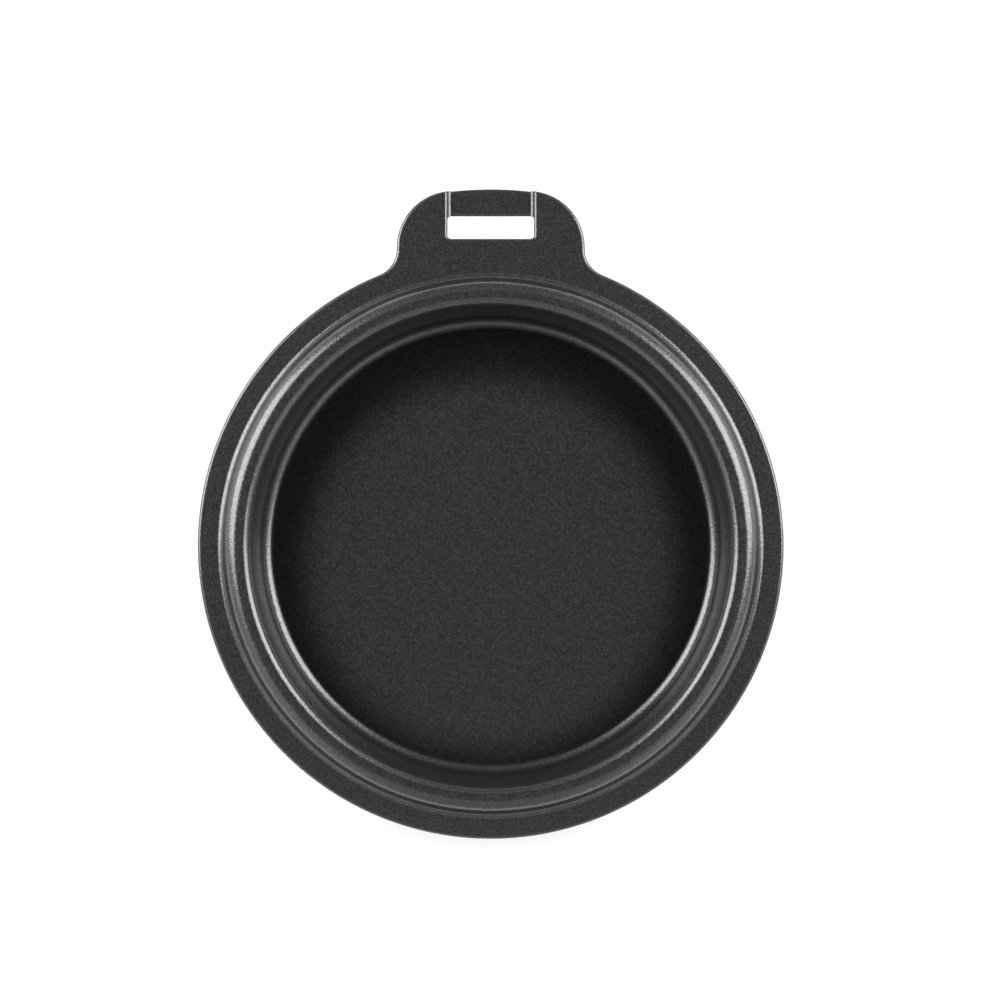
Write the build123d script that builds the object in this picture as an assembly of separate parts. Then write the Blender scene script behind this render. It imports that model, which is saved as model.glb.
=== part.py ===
from build123d import *
from math import cos, radians, sqrt, tan
import os

# Removable deep pan of a countertop multicooker: one die-cast aluminium piece with a dark
# non-stick coat baked onto its cooking side. Millimetres and degrees. The origin is on the
# pan's axis at the underside of its base, +Z is up and the handling tab points along +Y.

# Bowl, measured on the finished cooking side where its faces would meet without their fillets
floor_radius = 105.05
inside_depth = 44.0
wall_draft = 3.28
floor_fillet = 5.4

# Raised lip round the mouth
lip_width = 9.63
lip_height = 7.3
lip_draft = 24.1
mouth_round = 3.8
lip_round = 5.9
lip_foot_fillet = 3.3

# Flange that hangs in the cooker's housing
flange_width = 10.94
flange_thickness = 5.0
edge_round = 1.35

# Thicknesses of floor, wall and coat; the coat is counted in the first two
floor_thickness = 4.5
wall_thickness = 3.5
coat_thickness = 0.2

# Underside
base_round = 8.0
groove_fillet = 1.0
groove_edge_round = 1.0

# Handling tab
tab_length = 28.93
tab_width = 84.4
tab_corner = 25.4
tab_root_fillet = 12.6
tab_side_length = 0.3

# Latch slot through the tab, and the channel that leads from it to the tab's outer edge
slot_width = 38.7
slot_length = 10.4
slot_setback = 12.2
slot_corner = 1.7
channel_depth = 3.0
channel_fillet = 1.6

# How far a cut runs past the faces that it opens
overrun = 5.0

# Shares
join_share = 0.5
groove_fillet_share = 0.45
channel_foot_share = 0.54
channel_edge_share = 0.455

# Levels, from the base up
floor_top = floor_thickness
lip_top = floor_top + inside_depth
flange_top = lip_top - lip_height
flange_under = flange_top - flange_thickness
groove_top = lip_top - wall_thickness
channel_floor = flange_top - channel_depth

# Roundings of the channel, as large as its depth leaves room for
channel_foot_round = min(channel_fillet, channel_depth * channel_foot_share)
channel_edge_round = min(edge_round, channel_depth * channel_edge_share)

# Radii, from the axis out
mouth_radius = floor_radius + inside_depth * tan(radians(wall_draft))
lip_radius = mouth_radius + lip_width
lip_foot_radius = lip_radius + lip_height * tan(radians(lip_draft))
join_radius = lip_foot_radius + flange_width * join_share
flange_radius = lip_foot_radius + flange_width
tab_reach = flange_radius + tab_length


def outer_wall_radius(level):
    """Radius of the bowl's outer wall at a level."""
    slope = tan(radians(wall_draft))
    return floor_radius + (level - floor_top) * slope + wall_thickness / cos(radians(wall_draft))


def lip_inside_radius(level):
    """Radius of the hollow under the lip, on its outer side, at a level."""
    slope = tan(radians(lip_draft))
    return lip_radius + (lip_top - level) * slope - wall_thickness / cos(radians(lip_draft))


def drawn_in(corners, skin):
    """An outline that runs outwards over the metal, moved into the metal by a coat's thickness."""
    points = [Vector(*corner) for corner in corners]
    runs = [(after - before).normalized() for before, after in zip(points, points[1:])]
    normals = [Vector(run.Y, -run.X) for run in runs]
    pairs = zip([normals[0]] + normals, normals + [normals[-1]])
    return [
        point + (first + second) * (skin / (1 + first.dot(second)))
        for point, (first, second) in zip(points, pairs)
    ]


def bowl(skin):
    """Floor, wall, lip and the inner part of the flange, turned about the axis."""
    cooking_side = drawn_in(
        [
            (0, floor_top),
            (floor_radius, floor_top),
            (mouth_radius, lip_top),
            (lip_radius, lip_top),
            (lip_foot_radius, flange_top),
            (join_radius, flange_top),
        ],
        skin,
    )
    cooking_radii = [floor_fillet + skin, mouth_round - skin, lip_round - skin, lip_foot_fillet + skin]
    groove_inner = outer_wall_radius(groove_top)
    groove_outer = lip_inside_radius(groove_top)
    groove_room = (groove_outer - groove_inner) * groove_fillet_share
    underside = [
        (join_radius, flange_under),
        (lip_inside_radius(flange_under), flange_under),
        (groove_outer, groove_top),
        (groove_inner, groove_top),
        (outer_wall_radius(0), 0),
        (0, 0),
    ]
    groove_radius = min(groove_fillet, groove_room)
    underside_radii = [groove_edge_round, groove_radius, groove_radius, base_round]
    radii = [0] + cooking_radii + [0, 0] + underside_radii + [0]
    profile = make_face(Plane.XZ * FilletPolyline(*cooking_side, *underside, radius=radii, close=True))
    return revolve(profile, Axis.Z)


def rim_plan(skin):
    """Flange and tab in plan, drawn in all round by a coat's thickness."""
    half_width = tab_width / 2 - skin
    rim = flange_radius - skin
    reach = tab_reach - skin
    root = tab_root_fillet + skin
    root_end = sqrt((rim + root) ** 2 - (half_width + root) ** 2) + tab_side_length
    corner_room = (reach**2 - half_width**2 - root_end**2) / (2 * (reach - half_width))
    corner = min(tab_corner - skin, corner_room)
    tab = Pos(0, reach / 2) * Rectangle(2 * half_width, reach) & Circle(reach)
    plan = Circle(rim) + tab
    plan = fillet(plan.vertices().sort_by(Axis.Y)[:2], root)
    return fillet(plan.vertices().sort_by(Axis.Y)[-2:], corner)


def slot_plan(length, growth):
    """Rounded opening of the slot's width and a given length from its inner end, grown all round."""
    inner_end = tab_reach - slot_setback - slot_length
    opening = RectangleRounded(slot_width + 2 * growth, length + 2 * growth, slot_corner + growth)
    return Pos(0, inner_end + length / 2) * opening


def channel_feet(skin):
    """Metal that rounds the feet of the channel's two side walls."""
    radius = channel_foot_round + skin
    side = slot_width / 2 + skin
    floor = channel_floor - skin
    reach = radius + overrun
    block = Pos(side - radius + reach / 2, floor + radius - reach / 2) * Rectangle(reach, reach)
    section = block - Pos(side - radius, floor + radius) * Circle(radius)
    foot = extrude(Plane.XZ * section, -(tab_reach + overrun))
    return foot + mirror(foot, about=Plane.YZ)


def channel_space(skin):
    """What is cut away for the channel: a trough with rounded feet that flares into the tab's top."""
    top = flange_top - skin
    floor = channel_floor - skin
    length = slot_length + slot_setback + overrun
    trough = Pos(0, 0, floor) * extrude(slot_plan(length, skin), channel_depth)
    space_above = Pos(0, 0, top) * extrude(slot_plan(length, overrun), overrun)
    space = (trough + space_above).solid()
    tab_level = space.faces().filter_by(Axis.Z).sort_by(Axis.Z)[1]
    brink = tab_level.inner_wires()[0].edges()
    return space.fillet(channel_edge_round - skin, brink) - channel_feet(skin)


def rim(skin):
    """Flange and tab outside the bowl, with the slot, the channel and all upper edges rounded."""
    plate = Pos(0, 0, flange_under) * extrude(rim_plan(skin), flange_thickness - skin)
    plate = fillet(plate.edges().group_by(Axis.Z)[-1], edge_round - skin)
    plate -= channel_space(skin)
    slot_height = channel_floor - flange_under + channel_foot_round
    plate -= Pos(0, 0, flange_under) * extrude(slot_plan(slot_length, skin), slot_height)
    return plate - Pos(0, 0, flange_under) * extrude(Circle(join_radius), flange_thickness)


def pan(skin):
    """The whole pan, with its cooking side drawn in by a coat's thickness."""
    return bowl(skin) + rim(skin)


finished_pan = pan(0)
pan_casting = pan(coat_thickness)
nonstick_coating = finished_pan - pan_casting

os.makedirs("parts", exist_ok=True)
export_step(pan_casting, "parts/pan_casting.step")
export_step(nonstick_coating, "parts/nonstick_coating.step")
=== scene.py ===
"""Looks of a multicooker's deep pan: a dark non-stick coat over a die-cast aluminium body."""

from math import acos, atan2, cos, pi, radians, sin, sqrt, tan

import bmesh
import bpy
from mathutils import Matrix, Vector


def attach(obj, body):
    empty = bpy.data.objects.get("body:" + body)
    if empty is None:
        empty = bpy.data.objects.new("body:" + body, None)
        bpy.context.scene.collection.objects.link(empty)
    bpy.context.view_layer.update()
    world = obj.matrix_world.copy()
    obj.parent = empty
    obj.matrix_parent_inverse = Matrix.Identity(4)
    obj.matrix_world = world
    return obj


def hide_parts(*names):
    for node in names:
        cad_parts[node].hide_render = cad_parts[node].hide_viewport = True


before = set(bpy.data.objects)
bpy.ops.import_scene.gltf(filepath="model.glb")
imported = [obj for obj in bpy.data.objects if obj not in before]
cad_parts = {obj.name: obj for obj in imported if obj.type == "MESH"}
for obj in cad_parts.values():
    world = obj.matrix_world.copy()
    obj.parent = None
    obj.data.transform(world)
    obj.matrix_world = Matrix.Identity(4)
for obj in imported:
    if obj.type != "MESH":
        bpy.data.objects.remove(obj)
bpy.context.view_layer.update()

# Sizes of the pan in metres and radians, the same as those of its solids
FLOOR_RADIUS = 0.10505
INSIDE_DEPTH = 0.044
WALL_DRAFT = radians(3.28)
FLOOR_FILLET = 0.0054
LIP_WIDTH = 0.00963
LIP_HEIGHT = 0.0073
LIP_DRAFT = radians(24.1)
MOUTH_ROUND = 0.0038
LIP_ROUND = 0.0059
LIP_FOOT_FILLET = 0.0033
FLANGE_WIDTH = 0.01094
FLANGE_THICKNESS = 0.005
EDGE_ROUND = 0.00135
FLOOR_THICKNESS = 0.0045
WALL_THICKNESS = 0.0035
COAT_THICKNESS = 0.0002
BASE_ROUND = 0.008
GROOVE_FILLET = 0.001
GROOVE_EDGE_ROUND = 0.001
TAB_LENGTH = 0.02893
TAB_WIDTH = 0.0844
TAB_CORNER = 0.0254
TAB_ROOT_FILLET = 0.0126
SLOT_WIDTH = 0.0387
SLOT_LENGTH = 0.0104
SLOT_SETBACK = 0.0122
SLOT_CORNER = 0.0017
CHANNEL_DEPTH = 0.003
CHANNEL_FILLET = 0.0016
CHANNEL_END_ROUND = 0.0011
JOIN_SHARE = 0.5

# Levels and radii that follow from them
FLOOR_TOP = FLOOR_THICKNESS
LIP_TOP = FLOOR_TOP + INSIDE_DEPTH
FLANGE_TOP = LIP_TOP - LIP_HEIGHT
FLANGE_UNDER = FLANGE_TOP - FLANGE_THICKNESS
GROOVE_TOP = LIP_TOP - WALL_THICKNESS
CHANNEL_FLOOR = FLANGE_TOP - CHANNEL_DEPTH
MOUTH_RADIUS = FLOOR_RADIUS + INSIDE_DEPTH * tan(WALL_DRAFT)
LIP_RADIUS = MOUTH_RADIUS + LIP_WIDTH
LIP_FOOT_RADIUS = LIP_RADIUS + LIP_HEIGHT * tan(LIP_DRAFT)
JOIN_RADIUS = LIP_FOOT_RADIUS + FLANGE_WIDTH * JOIN_SHARE
FLANGE_RADIUS = LIP_FOOT_RADIUS + FLANGE_WIDTH
TAB_REACH = FLANGE_RADIUS + TAB_LENGTH

# Fineness of the meshes: steps of a full turn, of a fillet and of the tab's large arcs
TURN_STEPS = 256
ROUND_STEPS = 10
TAB_STEPS = 2 * ROUND_STEPS

# Shape of a bevel that rounds an edge, and its material, which is that of the faces beside it
ROUND_PROFILE = 0.5
SAME_MATERIAL = -1

# Limits: when points meet, when an edge is sharp, when a face is level, and the corners of a smooth face
MERGE = 1e-6
SHARP_ANGLE = radians(40.0)
LEVEL_COSINE = 0.999
QUAD = 4

# Side of its faces on which the coat gets its thickness
INWARDS = -1

# The camera stands straight above the pan, with its frame shifted off the pan's axis
CAMERA_HEIGHT = 1.2
FRAME_WIDTH = 0.448
SENSOR_WIDTH = 36.0
PICTURE_SIZE = 1000.0
PICTURE_MIDDLE = PICTURE_SIZE / 2
PAN_CENTRE_PIXEL = (490.75, 545.9)

# Fine grain of both finishes, and the stretch of it over which the coat turns from dark to pale
GRAIN_DETAIL = 2.0
MOTTLE_LIMITS = (0.3, 0.72)

# Non-stick coat: colours, grains per metre, roughness, depth of its relief and share of metallic shine
COAT_DARK = (0.108, 0.111, 0.110, 1.0)
COAT_PALE = (0.160, 0.164, 0.162, 1.0)
COAT_FINENESS = 1000.0
COAT_ROUGHNESS = (0.20, 0.29)
COAT_RELIEF = 0.00007
COAT_METAL_SHARE = 0.88

# Painted shade round the rim of the cooking floor, where it meets the wall: centre of the unshaded middle,
# the reach over which the shade comes in, how dark the coat is painted, up to a small rise above the floor
PAINTED_SHADE_CENTRE = (0.0, -0.009, FLOOR_TOP)
PAINTED_SHADE_REACH = (0.074, 0.097)
PAINTED_RIM_SHADE = (0.36, 0.36, 0.36, 1.0)
PAINTED_SHADE_RISE = (0.0001, 0.0006)
PAINTED_SHADE_LEVELS = [FLOOR_TOP + rise for rise in PAINTED_SHADE_RISE]

# Bare casting: colours, mottles and grains per metre, roughness, depth of its relief and share of
# metallic shine
CAST_DARK = (0.36, 0.36, 0.355, 1.0)
CAST_PALE = (0.52, 0.52, 0.515, 1.0)
CAST_MOTTLE_FINENESS = 160.0
CAST_FINENESS = 1500.0
CAST_ROUGHNESS = (0.40, 0.56)
CAST_RELIEF = 0.00005
CAST_METAL_SHARE = 1.0

# Turning marks on its flat base: pitch, level up to which they reach, how much smoother it is there, and
# their share of the relief
TURNING_PITCH = 0.0018
TURNED_LEVEL = 0.0004
TURNED_SMOOTHER = 0.12
TURNED_RELIEF_SHARE = 0.35

# Two softboxes left and right of the pan, both standing a little towards its tab
SOFTBOX_AZIMUTH = radians(21.0)
SOFTBOX_ELEVATION = radians(37.0)
SOFTBOX_DISTANCE = 1.5
SOFTBOX_WIDTH = 1.0
SOFTBOX_HEIGHT = 1.4
SOFTBOX_RADIANCE = 4.7

# Surround: its colour, its strength overhead and at the front, what the back and the sides add, and the
# parts of a direction's Y and X over which they come in
SURROUND_COLOUR = (1.0, 1.0, 1.0, 1.0)
SURROUND_MIDDLE = 0.0
SURROUND_FRONT = 0.4
SURROUND_BACK = 0.2
SURROUND_SIDES = 0.4
FRONT_SPAN = (-0.35, -0.02)
BACK_SPAN = (0.1, 0.45)
SIDE_SPAN = (0.2, 0.6)

# Heights of a direction, as its Z, between which the white horizon gives way to the surround
HORIZON_SPAN = (0.08, 0.2)

# Pale floor: its width, its colour, its glow under the pan, and the distances from the pan between which
# the glow turns to white
STAGE_SIZE = 12.0
STAGE_PALE = (0.72, 0.72, 0.72, 1.0)
STAGE_GLOW = 0.45
STAGE_FADE = (0.4, 2.0)

# Directions: up, and towards the tab
UP = (0, 0, 1)
TABWARDS = (0, 1, 0)


def drawn_in(corners, skin):
    """An outline that runs outwards over the metal, moved into the metal by a skin's thickness."""
    points = [Vector(corner) for corner in corners]
    runs = [(after - before).normalized() for before, after in zip(points, points[1:])]
    normals = [Vector((run.y, -run.x)) for run in runs]
    pairs = zip([normals[0]] + normals, normals + [normals[-1]])
    return [
        point + (first + second) * (skin / (1 + first.dot(second)))
        for point, (first, second) in zip(points, pairs)
    ]


def new_since(items, known):
    """Items of a mesh that aren't in a set taken earlier."""
    return [item for item in items if item not in known]


def only(kind, items):
    """The items that are vertices, edges or faces."""
    return [item for item in items if isinstance(item, kind)]


def line_to(mesh, start, place):
    """A straight edge from a vertex to a place, and the vertex there."""
    end = mesh.verts.new(place)
    mesh.edges.new((start, end))
    return end


def run_to(mesh, start, place, steps):
    """A straight chain of equal edges from a vertex to a place, and its last vertex."""
    stride = (Vector(place) - start.co) / steps
    spun = bmesh.ops.spin(mesh, geom=[start], cent=(0, 0, 0), axis=UP, dvec=stride, angle=0, steps=steps)
    return only(bmesh.types.BMVert, spun["geom_last"])[0]


def arc_from(mesh, start, centre, axis, angle, steps):
    """A round chain of edges spun from a vertex about a centre, and its last vertex."""
    spun = bmesh.ops.spin(mesh, geom=[start], cent=centre, axis=axis, angle=angle, steps=steps)
    return only(bmesh.types.BMVert, spun["geom_last"])[0]


def rounded_corner(mesh, last, before, corner, after, radius):
    """The profile's next fillet, and its last vertex."""
    corner = Vector(corner)
    back = (Vector(before) - corner).normalized()
    ahead = (Vector(after) - corner).normalized()
    half = back.angle(ahead) / 2
    begin = corner + back * (radius / tan(half))
    centre = corner + (back + ahead).normalized() * (radius / sin(half))
    side = 1 if back.x * ahead.y > back.y * ahead.x else -1
    last = line_to(mesh, last, (begin.x, 0, begin.y))
    return arc_from(mesh, last, (centre.x, 0, centre.y), TABWARDS, side * (pi - 2 * half), ROUND_STEPS)


def turned(corners, radii):
    """A surface turned about Z from corners of radius and height, each with its own fillet."""
    mesh = bmesh.new()
    last = mesh.verts.new((corners[0][0], 0, corners[0][1]))
    for before, corner, after, radius in zip(corners, corners[1:], corners[2:], radii):
        last = rounded_corner(mesh, last, before, corner, after, radius)
    line_to(mesh, last, (corners[-1][0], 0, corners[-1][1]))
    profile = mesh.verts[:] + mesh.edges[:]
    bmesh.ops.spin(
        mesh, geom=profile, cent=(0, 0, 0), axis=UP, angle=2 * pi, steps=TURN_STEPS, use_merge=True,
    )
    return mesh


def cooking_side(skin):
    """Floor, wall, lip and inner flange, drawn in by a skin's thickness."""
    corners = drawn_in(
        [
            (0, FLOOR_TOP),
            (FLOOR_RADIUS, FLOOR_TOP),
            (MOUTH_RADIUS, LIP_TOP),
            (LIP_RADIUS, LIP_TOP),
            (LIP_FOOT_RADIUS, FLANGE_TOP),
            (JOIN_RADIUS, FLANGE_TOP),
        ],
        skin,
    )
    radii = [FLOOR_FILLET + skin, MOUTH_ROUND - skin, LIP_ROUND - skin, LIP_FOOT_FILLET + skin]
    return turned(corners, radii)


def outer_wall_radius(level):
    """Radius of the bowl's outer wall at a level."""
    return FLOOR_RADIUS + (level - FLOOR_TOP) * tan(WALL_DRAFT) + WALL_THICKNESS / cos(WALL_DRAFT)


def lip_inside_radius(level):
    """Radius of the hollow under the lip, on its outer side, at a level."""
    return LIP_RADIUS + (LIP_TOP - level) * tan(LIP_DRAFT) - WALL_THICKNESS / cos(LIP_DRAFT)


def underside():
    """Base, outer wall, groove under the lip and inner underside of the flange."""
    corners = [
        (0, 0),
        (outer_wall_radius(0), 0),
        (outer_wall_radius(GROOVE_TOP), GROOVE_TOP),
        (lip_inside_radius(GROOVE_TOP), GROOVE_TOP),
        (lip_inside_radius(FLANGE_UNDER), FLANGE_UNDER),
        (JOIN_RADIUS, FLANGE_UNDER),
    ]
    return turned(corners, [BASE_ROUND, GROOVE_FILLET, GROOVE_FILLET, GROOVE_EDGE_ROUND])


class RimSizes:
    """Sizes of the flange, tab, slot and channel, drawn in by a skin's thickness."""

    def __init__(self, skin):
        self.rim = FLANGE_RADIUS - skin
        self.half = TAB_WIDTH / 2 - skin
        self.reach = TAB_REACH - skin
        self.root = TAB_ROOT_FILLET + skin
        self.corner = TAB_CORNER - skin
        self.slot_half = SLOT_WIDTH / 2 + skin
        self.slot_outer = TAB_REACH - SLOT_SETBACK + skin
        self.slot_inner = TAB_REACH - SLOT_SETBACK - SLOT_LENGTH - skin
        self.slot_corner = SLOT_CORNER + skin
        self.foot = CHANNEL_FILLET + skin
        self.top = FLANGE_TOP - skin
        self.floor = CHANNEL_FLOOR - skin
        self.shelf = self.floor + self.foot
        self.edge = EDGE_ROUND - skin
        self.end = CHANNEL_END_ROUND - skin
        self.corner_x = self.half - self.corner
        self.corner_y = sqrt((self.reach - self.corner) ** 2 - self.corner_x**2)
        self.mouth_turn = acos((self.slot_half - self.corner_x) / self.corner)
        self.mouth_y = self.corner_y + self.corner * sin(self.mouth_turn)

    def mouth_line(self, x):
        """Y of the tab's outer edge across the channel's mouth."""
        return self.mouth_y + (self.reach - self.mouth_y) * (1 - (x / self.slot_half) ** 2)

    def slot_line(self, x):
        """Y of the slot's outer edge, which turns into its sides with a round corner."""
        into_corner = min(max(0, x - (self.slot_half - self.slot_corner)), self.slot_corner)
        return self.slot_outer - self.slot_corner + sqrt(self.slot_corner**2 - into_corner**2)


def raise_walls(mesh, edges, level):
    """Walls from a chain of edges up or down to a level, and the chain there."""
    made = bmesh.ops.extrude_edge_only(mesh, edges=edges)["geom"]
    ends = set(only(bmesh.types.BMVert, made))
    for vert in ends:
        vert.co.z = level
    return [edge for edge in only(bmesh.types.BMEdge, made) if set(edge.verts) <= ends]


def raise_outline(mesh, sizes):
    """Outer walls of half the flange and tab, from the underside to the top."""
    known = set(mesh.edges)
    z = FLANGE_UNDER
    root_x = sizes.half + sizes.root
    root_y = sqrt((sizes.rim + sizes.root) ** 2 - root_x**2)
    root_turn = atan2(root_y, root_x)
    rim_turn = pi / 2 + root_turn
    rim_steps = round(TURN_STEPS * rim_turn / (2 * pi))
    last = mesh.verts.new((0, -sizes.rim, z))
    last = arc_from(mesh, last, (0, 0, z), UP, rim_turn, rim_steps)
    last = arc_from(mesh, last, (root_x, root_y, z), UP, -root_turn, TAB_STEPS)
    last = line_to(mesh, last, (sizes.half, sizes.corner_y, z))
    arc_from(mesh, last, (sizes.corner_x, sizes.corner_y, z), UP, sizes.mouth_turn, TAB_STEPS)
    shelf_chain = raise_walls(mesh, new_since(mesh.edges, known), sizes.shelf)
    raise_walls(mesh, shelf_chain, sizes.top)


def raise_slot(mesh, sizes):
    """Inner end and side of half the slot, from the underside to the top."""
    known = set(mesh.edges)
    z = FLANGE_UNDER
    corner_x = sizes.slot_half - sizes.slot_corner
    corner_y = sizes.slot_inner + sizes.slot_corner
    last = mesh.verts.new((sizes.slot_half, sizes.slot_outer - sizes.slot_corner, z))
    last = line_to(mesh, last, (sizes.slot_half, corner_y, z))
    last = arc_from(mesh, last, (corner_x, corner_y, z), UP, -pi / 2, ROUND_STEPS)
    line_to(mesh, last, (0, sizes.slot_inner, z))
    shelf_chain = raise_walls(mesh, new_since(mesh.edges, known), sizes.shelf)
    raise_walls(mesh, shelf_chain, sizes.top)


def raise_channel(mesh, sizes):
    """Half the channel from the slot to the tab's outer edge: floor, rounded foot and side wall.

    Its section is drawn across, extruded, and bent to the slot's edge at one end and the tab's at the other.
    """
    known = set(mesh.edges)
    foot_x = sizes.slot_half - sizes.foot
    last = mesh.verts.new((0, 0, sizes.floor))
    last = run_to(mesh, last, (foot_x, 0, sizes.floor), ROUND_STEPS)
    arc_from(mesh, last, (foot_x, 0, sizes.shelf), TABWARDS, -pi / 2, ROUND_STEPS)
    at_slot = new_since(mesh.edges, known)
    made = bmesh.ops.extrude_edge_only(mesh, edges=at_slot)["geom"]
    far = set(only(bmesh.types.BMVert, made))
    at_mouth = [edge for edge in only(bmesh.types.BMEdge, made) if set(edge.verts) <= far]
    for vert in {vert for edge in at_slot for vert in edge.verts}:
        vert.co.y = sizes.slot_line(vert.co.x)
    for vert in far:
        vert.co.y = sizes.mouth_line(vert.co.x)
    strip = new_since(mesh.edges, known)
    at_wall = [edge for edge in strip if min(vert.co.x for vert in edge.verts) > sizes.slot_half - MERGE]
    raise_walls(mesh, at_slot, FLANGE_UNDER)
    raise_walls(mesh, at_mouth, FLANGE_UNDER)
    raise_walls(mesh, at_wall, sizes.top)


def edges_at(mesh, level):
    """Edges that lie at a level."""
    return [edge for edge in mesh.edges if all(abs(vert.co.z - level) < MERGE for vert in edge.verts)]


def add_deck(mesh, level):
    """The flat face of half the rim at a level, from its outline in to the bowl."""
    start = mesh.verts.new((0, -JOIN_RADIUS, level))
    arc_from(mesh, start, (0, 0, level), UP, pi, TURN_STEPS // 2)
    border = edges_at(mesh, level)
    ends = {vert for edge in border for vert in edge.verts if abs(vert.co.x) < MERGE}
    ends = sorted(ends, key=lambda vert: vert.co.y)
    bridges = [mesh.edges.new(pair) for pair in zip(ends[::2], ends[1::2])]
    bmesh.ops.contextual_create(mesh, geom=border + bridges)


def round_edges(mesh, edges, radius):
    """Rounds edges with a radius."""
    bmesh.ops.bevel(
        mesh,
        geom=edges,
        offset=radius,
        segments=ROUND_STEPS,
        profile=ROUND_PROFILE,
        affect="EDGES",
        material=SAME_MATERIAL,
    )


def lies_flat(face):
    """Whether a face is level."""
    return abs(face.normal.z) > LEVEL_COSINE


def is_brink(edge):
    """Whether a level face ends at an edge."""
    return not all(map(lies_flat, edge.link_faces))


def runs_across(edge):
    """Whether an edge leads across the channel, not along it."""
    start, end = edge.verts
    return abs(start.co.x - end.co.x) > MERGE


def rim(skin, with_underside):
    """Flange and tab outside the bowl: one half, its mirror image, and then every upper edge rounded."""
    sizes = RimSizes(skin)
    mesh = bmesh.new()
    raise_outline(mesh, sizes)
    raise_slot(mesh, sizes)
    raise_channel(mesh, sizes)
    bmesh.ops.remove_doubles(mesh, verts=mesh.verts[:], dist=MERGE)
    add_deck(mesh, sizes.top)
    if with_underside:
        add_deck(mesh, FLANGE_UNDER)
    whole = mesh.verts[:] + mesh.edges[:] + mesh.faces[:]
    bmesh.ops.mirror(mesh, geom=whole, merge_dist=MERGE, axis="X")
    bmesh.ops.remove_doubles(mesh, verts=mesh.verts[:], dist=MERGE)
    bmesh.ops.recalc_face_normals(mesh, faces=mesh.faces[:])
    upper_edges = [edge for edge in edges_at(mesh, sizes.top) if is_brink(edge)]
    round_edges(mesh, upper_edges, sizes.edge)
    floor_ends = [edge for edge in edges_at(mesh, sizes.floor) if runs_across(edge) and is_brink(edge)]
    round_edges(mesh, floor_ends, sizes.end)
    return mesh


def piece_from(parts, name, material, node):
    """A finished piece from parts that meet: smooth but for its flat decks, and standing for its solid."""
    mesh = bmesh.new()
    for part in parts:
        data = bpy.data.meshes.new(name)
        part.to_mesh(data)
        part.free()
        mesh.from_mesh(data)
        bpy.data.meshes.remove(data)
    bmesh.ops.remove_doubles(mesh, verts=mesh.verts[:], dist=MERGE)
    bmesh.ops.recalc_face_normals(mesh, faces=mesh.faces[:])
    for face in mesh.faces:
        face.smooth = len(face.verts) <= QUAD
    data = bpy.data.meshes.new(name)
    mesh.to_mesh(data)
    mesh.free()
    data.set_sharp_from_angle(angle=SHARP_ANGLE)
    data.materials.append(material)
    piece = bpy.data.objects.new(name, data)
    bpy.context.scene.collection.objects.link(piece)
    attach(piece, "root")
    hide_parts(node)
    return piece


def flatten_normals(piece):
    """Lets the large faces lead the shading, so that flats stay flat beside their rounded edges."""
    normals = piece.modifiers.new("area normals", "WEIGHTED_NORMAL")
    normals.keep_sharp = True


def make_coat(material):
    """The non-stick coat: the whole cooking side, the rim's edges and the slot, as a thin shell."""
    parts = [rim(0, False), cooking_side(0)]
    piece = piece_from(parts, "pan_coat", material, "nonstick_coating")
    shell = piece.modifiers.new("coat thickness", "SOLIDIFY")
    shell.thickness = COAT_THICKNESS
    shell.offset = INWARDS
    flatten_normals(piece)


def make_body(material):
    """The casting under the coat, open to view on its outer side and underneath."""
    parts = [rim(COAT_THICKNESS, True), cooking_side(COAT_THICKNESS), underside()]
    piece = piece_from(parts, "pan_body", material, "pan_casting")
    flatten_normals(piece)


def new_material(name):
    """An empty material, with its nodes and links."""
    material = bpy.data.materials.new(name)
    material.use_nodes = True
    return material, material.node_tree.nodes, material.node_tree.links


def feed(links, socket, value):
    """Feeds a socket from another one, or with a plain value."""
    if isinstance(value, bpy.types.NodeSocket):
        links.new(value, socket)
    else:
        socket.default_value = value


def math_node(nodes, links, operation, first, second=0):
    """What a Math node puts out, fed by sockets or plain numbers."""
    node = nodes.new("ShaderNodeMath")
    node.operation = operation
    feed(links, node.inputs[0], first)
    feed(links, node.inputs[1], second)
    return node.outputs[0]


def ramp(nodes, links, value, start, end, low, high):
    """A smooth step of a value from low to high between start and end."""
    node = nodes.new("ShaderNodeMapRange")
    node.interpolation_type = "SMOOTHSTEP"
    links.new(value, node.inputs["Value"])
    node.inputs["From Min"].default_value = start
    node.inputs["From Max"].default_value = end
    node.inputs["To Min"].default_value = low
    node.inputs["To Max"].default_value = high
    return node.outputs["Result"]


def make_grain_group():
    """Fine grain shared by both finishes: even noise, and the same with more contrast for colours."""
    group = bpy.data.node_groups.new("fine_grain", "ShaderNodeTree")
    for name, kind in (("Place", "NodeSocketVector"), ("Fineness", "NodeSocketFloat")):
        group.interface.new_socket(name, in_out="INPUT", socket_type=kind)
    for name in ("Grain", "Mottle"):
        group.interface.new_socket(name, in_out="OUTPUT", socket_type="NodeSocketFloat")
    nodes = group.nodes
    links = group.links
    given = nodes.new("NodeGroupInput")
    made = nodes.new("NodeGroupOutput")
    noise = nodes.new("ShaderNodeTexNoise")
    noise.inputs["Detail"].default_value = GRAIN_DETAIL
    links.new(given.outputs["Place"], noise.inputs["Vector"])
    links.new(given.outputs["Fineness"], noise.inputs["Scale"])
    links.new(noise.outputs["Fac"], made.inputs["Grain"])
    links.new(ramp(nodes, links, noise.outputs["Fac"], *MOTTLE_LIMITS, 0, 1), made.inputs["Mottle"])
    return group


def place_grain(nodes, links, place, group, fineness):
    """The grain group placed in a material, at a number of grains per metre."""
    grain = nodes.new("ShaderNodeGroup")
    grain.node_tree = group
    grain.inputs["Fineness"].default_value = fineness
    links.new(place, grain.inputs["Place"])
    return grain


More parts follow.
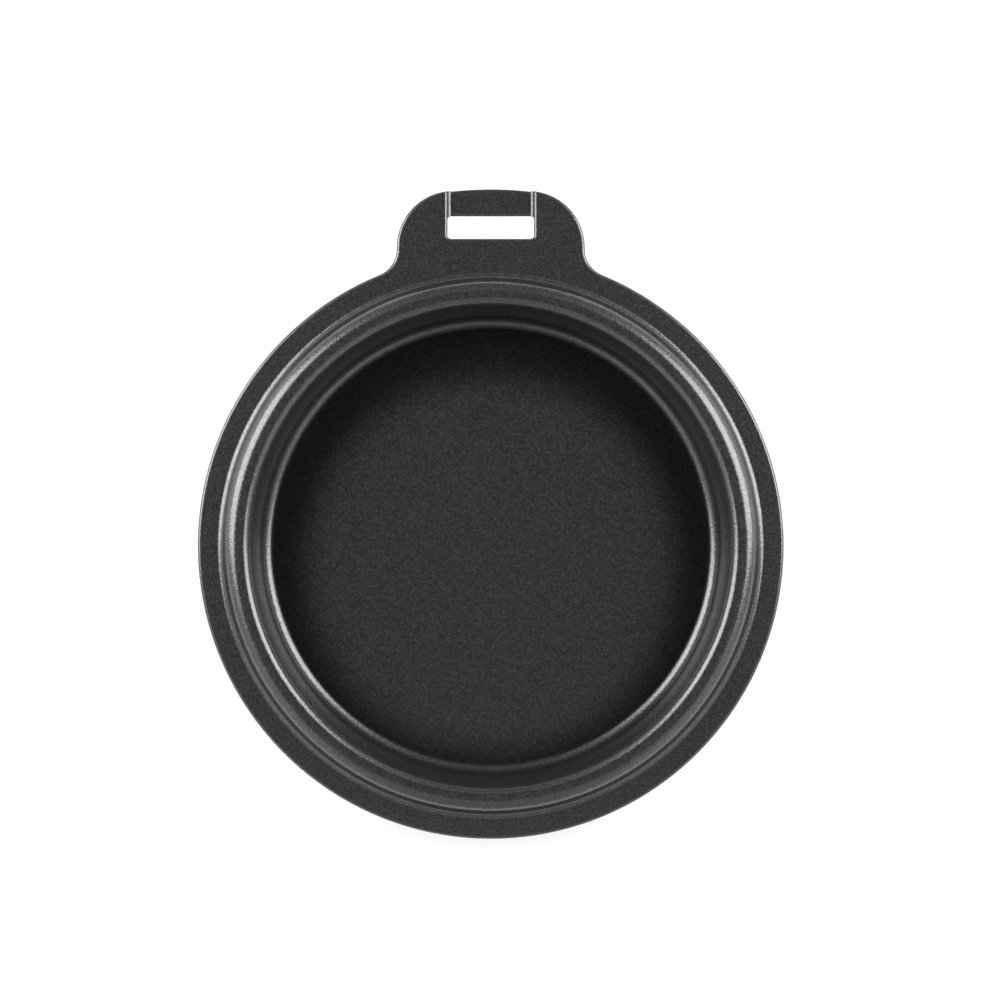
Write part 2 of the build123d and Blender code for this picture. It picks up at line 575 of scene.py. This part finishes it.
def mixed_colour(nodes, links, blend, share, first, second):
    """A colour blended from two others by a share of the second."""
    mix = nodes.new("ShaderNodeMix")
    mix.data_type = "RGBA"
    mix.blend_type = blend
    first_colour, second_colour = (socket for socket in mix.inputs if socket.type == "RGBA")
    feed(links, mix.inputs["Factor"], share)
    feed(links, first_colour, first)
    feed(links, second_colour, second)
    return next(socket for socket in mix.outputs if socket.type == "RGBA")


def bump(nodes, links, height, depth, shader):
    """Surface relief of a given depth."""
    node = nodes.new("ShaderNodeBump")
    node.inputs["Distance"].default_value = depth
    links.new(height, node.inputs["Height"])
    links.new(node.outputs["Normal"], shader.inputs["Normal"])


def floor_rim_painted_shade(nodes, links, place, level):
    """How much painted shade a place gets on the rim of the cooking floor, outside its middle."""
    from_centre = nodes.new("ShaderNodeVectorMath")
    from_centre.operation = "DISTANCE"
    links.new(place, from_centre.inputs[0])
    from_centre.inputs[1].default_value = PAINTED_SHADE_CENTRE
    outside = ramp(nodes, links, from_centre.outputs["Value"], *PAINTED_SHADE_REACH, 0, 1)
    on_floor = ramp(nodes, links, level, *PAINTED_SHADE_LEVELS, 1, 0)
    return math_node(nodes, links, "MULTIPLY", outside, on_floor)


def coat_material(group):
    """Dark satin coat with a soft grain, with painted shade darkening it round the floor's rim."""
    material, nodes, links = new_material("nonstick_coat")
    shader = nodes["Principled BSDF"]
    shader.inputs["Metallic"].default_value = COAT_METAL_SHARE
    place = nodes.new("ShaderNodeTexCoord").outputs["Object"]
    axes = nodes.new("ShaderNodeSeparateXYZ")
    links.new(place, axes.inputs[0])
    grain = place_grain(nodes, links, place, group, COAT_FINENESS)
    colour = mixed_colour(nodes, links, "MIX", grain.outputs["Mottle"], COAT_DARK, COAT_PALE)
    # Painted shade: the coat is darkened round the floor's rim, where the floor meets the wall
    shade_share = floor_rim_painted_shade(nodes, links, place, axes.outputs["Z"])
    colour = mixed_colour(nodes, links, "MULTIPLY", shade_share, colour, PAINTED_RIM_SHADE)
    links.new(colour, shader.inputs["Base Color"])
    links.new(ramp(nodes, links, grain.outputs["Grain"], 0, 1, *COAT_ROUGHNESS), shader.inputs["Roughness"])
    bump(nodes, links, grain.outputs["Grain"], COAT_RELIEF, shader)
    return material


def turning_marks(nodes, links, axes):
    """Rings round the pan's axis, as a wave between -1 and 1."""
    flat_place = nodes.new("ShaderNodeCombineXYZ")
    links.new(axes.outputs["X"], flat_place.inputs["X"])
    links.new(axes.outputs["Y"], flat_place.inputs["Y"])
    from_axis = nodes.new("ShaderNodeVectorMath")
    from_axis.operation = "LENGTH"
    links.new(flat_place.outputs[0], from_axis.inputs[0])
    turns = math_node(nodes, links, "MULTIPLY", from_axis.outputs["Value"], 2 * pi / TURNING_PITCH)
    return math_node(nodes, links, "SINE", turns)


def aluminium_material(group):
    """Bare die-cast aluminium: dull mottled skin, and fine turning marks on the flat base."""
    material, nodes, links = new_material("cast_aluminium")
    shader = nodes["Principled BSDF"]
    shader.inputs["Metallic"].default_value = CAST_METAL_SHARE
    place = nodes.new("ShaderNodeTexCoord").outputs["Object"]
    axes = nodes.new("ShaderNodeSeparateXYZ")
    links.new(place, axes.inputs[0])
    mottle = place_grain(nodes, links, place, group, CAST_MOTTLE_FINENESS).outputs["Grain"]
    grain = place_grain(nodes, links, place, group, CAST_FINENESS).outputs["Grain"]
    colour = mixed_colour(nodes, links, "MIX", mottle, CAST_DARK, CAST_PALE)
    links.new(colour, shader.inputs["Base Color"])
    on_base = ramp(nodes, links, axes.outputs["Z"], 0, TURNED_LEVEL, 1, 0)
    rough = ramp(nodes, links, mottle, 0, 1, *CAST_ROUGHNESS)
    smoother = math_node(nodes, links, "MULTIPLY", on_base, TURNED_SMOOTHER)
    links.new(math_node(nodes, links, "SUBTRACT", rough, smoother), shader.inputs["Roughness"])
    shallow = math_node(nodes, links, "MULTIPLY", on_base, TURNED_RELIEF_SHARE)
    marks = math_node(nodes, links, "MULTIPLY", turning_marks(nodes, links, axes), shallow)
    bump(nodes, links, math_node(nodes, links, "ADD", grain, marks), CAST_RELIEF, shader)
    return material


def stage_material():
    """Pale floor that keeps the shadow, glows to white far out and lets the underside be seen from below."""
    material, nodes, links = new_material("stage_pale")
    nodes.clear()
    paper = nodes.new("ShaderNodeBsdfDiffuse")
    paper.inputs["Color"].default_value = STAGE_PALE
    glow = nodes.new("ShaderNodeEmission")
    rays = nodes.new("ShaderNodeLightPath")
    seen = rays.outputs["Is Camera Ray"]
    for kind in ("Is Glossy Ray", "Is Transmission Ray"):
        seen = math_node(nodes, links, "MAXIMUM", seen, rays.outputs[kind])
    far = nodes.new("ShaderNodeVectorMath")
    far.operation = "LENGTH"
    links.new(nodes.new("ShaderNodeTexCoord").outputs["Object"], far.inputs[0])
    level = ramp(nodes, links, far.outputs["Value"], *STAGE_FADE, STAGE_GLOW, 1)
    links.new(math_node(nodes, links, "MULTIPLY", seen, level), glow.inputs["Strength"])
    both = nodes.new("ShaderNodeAddShader")
    links.new(paper.outputs[0], both.inputs[0])
    links.new(glow.outputs[0], both.inputs[1])
    clear = nodes.new("ShaderNodeBsdfTransparent")
    mix = nodes.new("ShaderNodeMixShader")
    links.new(nodes.new("ShaderNodeNewGeometry").outputs["Backfacing"], mix.inputs[0])
    links.new(both.outputs[0], mix.inputs[1])
    links.new(clear.outputs[0], mix.inputs[2])
    links.new(mix.outputs[0], nodes.new("ShaderNodeOutputMaterial").inputs["Surface"])
    return material


def make_stage():
    """The plain floor that the pan stands on."""
    mesh = bmesh.new()
    bmesh.ops.create_grid(mesh, x_segments=1, y_segments=1, size=STAGE_SIZE / 2)
    data = bpy.data.meshes.new("stage_floor")
    mesh.to_mesh(data)
    mesh.free()
    data.materials.append(stage_material())
    floor = bpy.data.objects.new("stage_floor", data)
    bpy.context.scene.collection.objects.link(floor)


def softbox(name, side):
    """A large soft light on one side of the pan, aimed at it."""
    data = bpy.data.lights.new(name, "AREA")
    data.shape = "RECTANGLE"
    data.size = SOFTBOX_WIDTH
    data.size_y = SOFTBOX_HEIGHT
    data.energy = SOFTBOX_RADIANCE * pi * SOFTBOX_WIDTH * SOFTBOX_HEIGHT
    light = bpy.data.objects.new(name, data)
    out = Vector((side * cos(SOFTBOX_AZIMUTH), sin(SOFTBOX_AZIMUTH), tan(SOFTBOX_ELEVATION))).normalized()
    light.location = Vector((0, 0, FLANGE_TOP)) + out * SOFTBOX_DISTANCE
    light.rotation_euler = out.to_track_quat("Z", "Y").to_euler()
    light.visible_camera = False
    bpy.context.scene.collection.objects.link(light)


def make_world():
    """A dim surround, dark overhead and paler towards front, back and sides.

    The camera sees all of it white, and the coat and the metal mirror a white horizon.
    """
    world = bpy.data.worlds.new("surround")
    world.use_nodes = True
    nodes = world.node_tree.nodes
    links = world.node_tree.links
    axes = nodes.new("ShaderNodeSeparateXYZ")
    links.new(nodes.new("ShaderNodeTexCoord").outputs["Generated"], axes.inputs[0])
    aside = math_node(nodes, links, "ABSOLUTE", axes.outputs["X"])
    level = ramp(nodes, links, axes.outputs["Y"], *FRONT_SPAN, SURROUND_FRONT, SURROUND_MIDDLE)
    back = ramp(nodes, links, axes.outputs["Y"], *BACK_SPAN, 0, SURROUND_BACK)
    sides = ramp(nodes, links, aside, *SIDE_SPAN, 0, SURROUND_SIDES)
    for more in (back, sides):
        level = math_node(nodes, links, "ADD", level, more)
    rays = nodes.new("ShaderNodeLightPath").outputs
    mirrored = math_node(nodes, links, "MAXIMUM", rays["Is Glossy Ray"], rays["Is Transmission Ray"])
    near_horizon = ramp(nodes, links, axes.outputs["Z"], *HORIZON_SPAN, 1, 0)
    horizon = math_node(nodes, links, "MULTIPLY", mirrored, near_horizon)
    for white in (rays["Is Camera Ray"], horizon):
        level = math_node(nodes, links, "MAXIMUM", level, white)
    links.new(level, nodes["Background"].inputs["Strength"])
    nodes["Background"].inputs["Color"].default_value = SURROUND_COLOUR
    bpy.context.scene.world = world


def make_camera():
    """Looks straight down with the tab at the top of the picture."""
    data = bpy.data.cameras.new("camera")
    data.sensor_width = SENSOR_WIDTH
    data.lens = SENSOR_WIDTH * CAMERA_HEIGHT / FRAME_WIDTH
    data.shift_x = (PICTURE_MIDDLE - PAN_CENTRE_PIXEL[0]) / PICTURE_SIZE
    data.shift_y = (PAN_CENTRE_PIXEL[1] - PICTURE_MIDDLE) / PICTURE_SIZE
    camera = bpy.data.objects.new("camera", data)
    camera.location = (0, 0, FLANGE_TOP + CAMERA_HEIGHT)
    bpy.context.scene.collection.objects.link(camera)
    bpy.context.scene.camera = camera


fine_grain = make_grain_group()
make_coat(coat_material(fine_grain))
make_body(aluminium_material(fine_grain))
make_stage()
softbox("softbox_left", -1)
softbox("softbox_right", 1)
make_world()
make_camera()
bpy.context.scene.view_settings.view_transform = "Standard"
